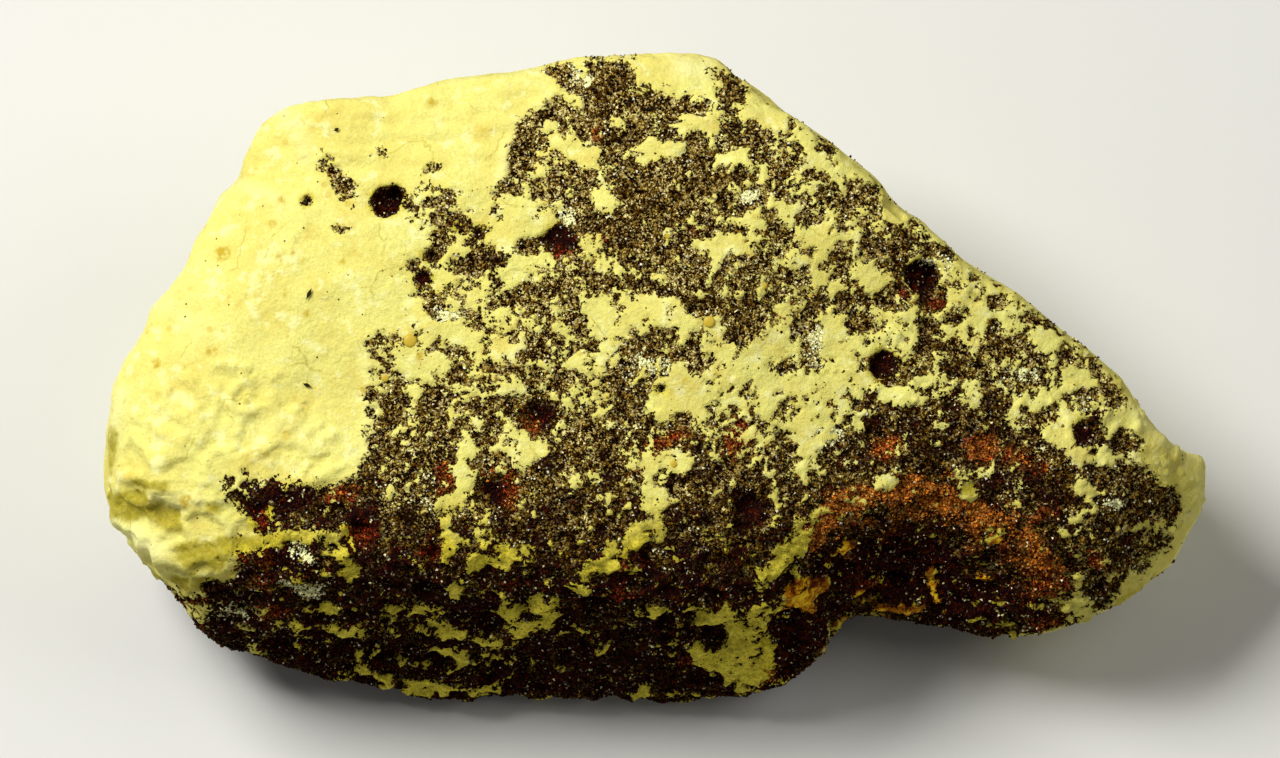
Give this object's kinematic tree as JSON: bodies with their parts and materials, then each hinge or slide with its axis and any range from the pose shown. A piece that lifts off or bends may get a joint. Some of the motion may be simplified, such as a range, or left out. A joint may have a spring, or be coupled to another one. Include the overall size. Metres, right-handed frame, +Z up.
{
  "type": "native sulfur specimen",
  "caption": "Broken lump of massive pale yellow native sulfur, its face mostly under a dark granular crust, with a rust-stained hollow in the lower edge",
  "frame": {"origin": "middle of the bounding box, on the flat rest face", "axes": "+X along the longest side, towards the pointed end; +Y away from the steep front wall; +Z up, out of the rest face"},
  "size_m": [0.0904, 0.0492, 0.0341],
  "materials": {
    "sulfur": "waxy pale yellow massive sulfur with a matt dark brown granular crust"
  },
  "bodies": {
    "root": {"sulfur_specimen": "sulfur"}
  },
  "joints": []
}
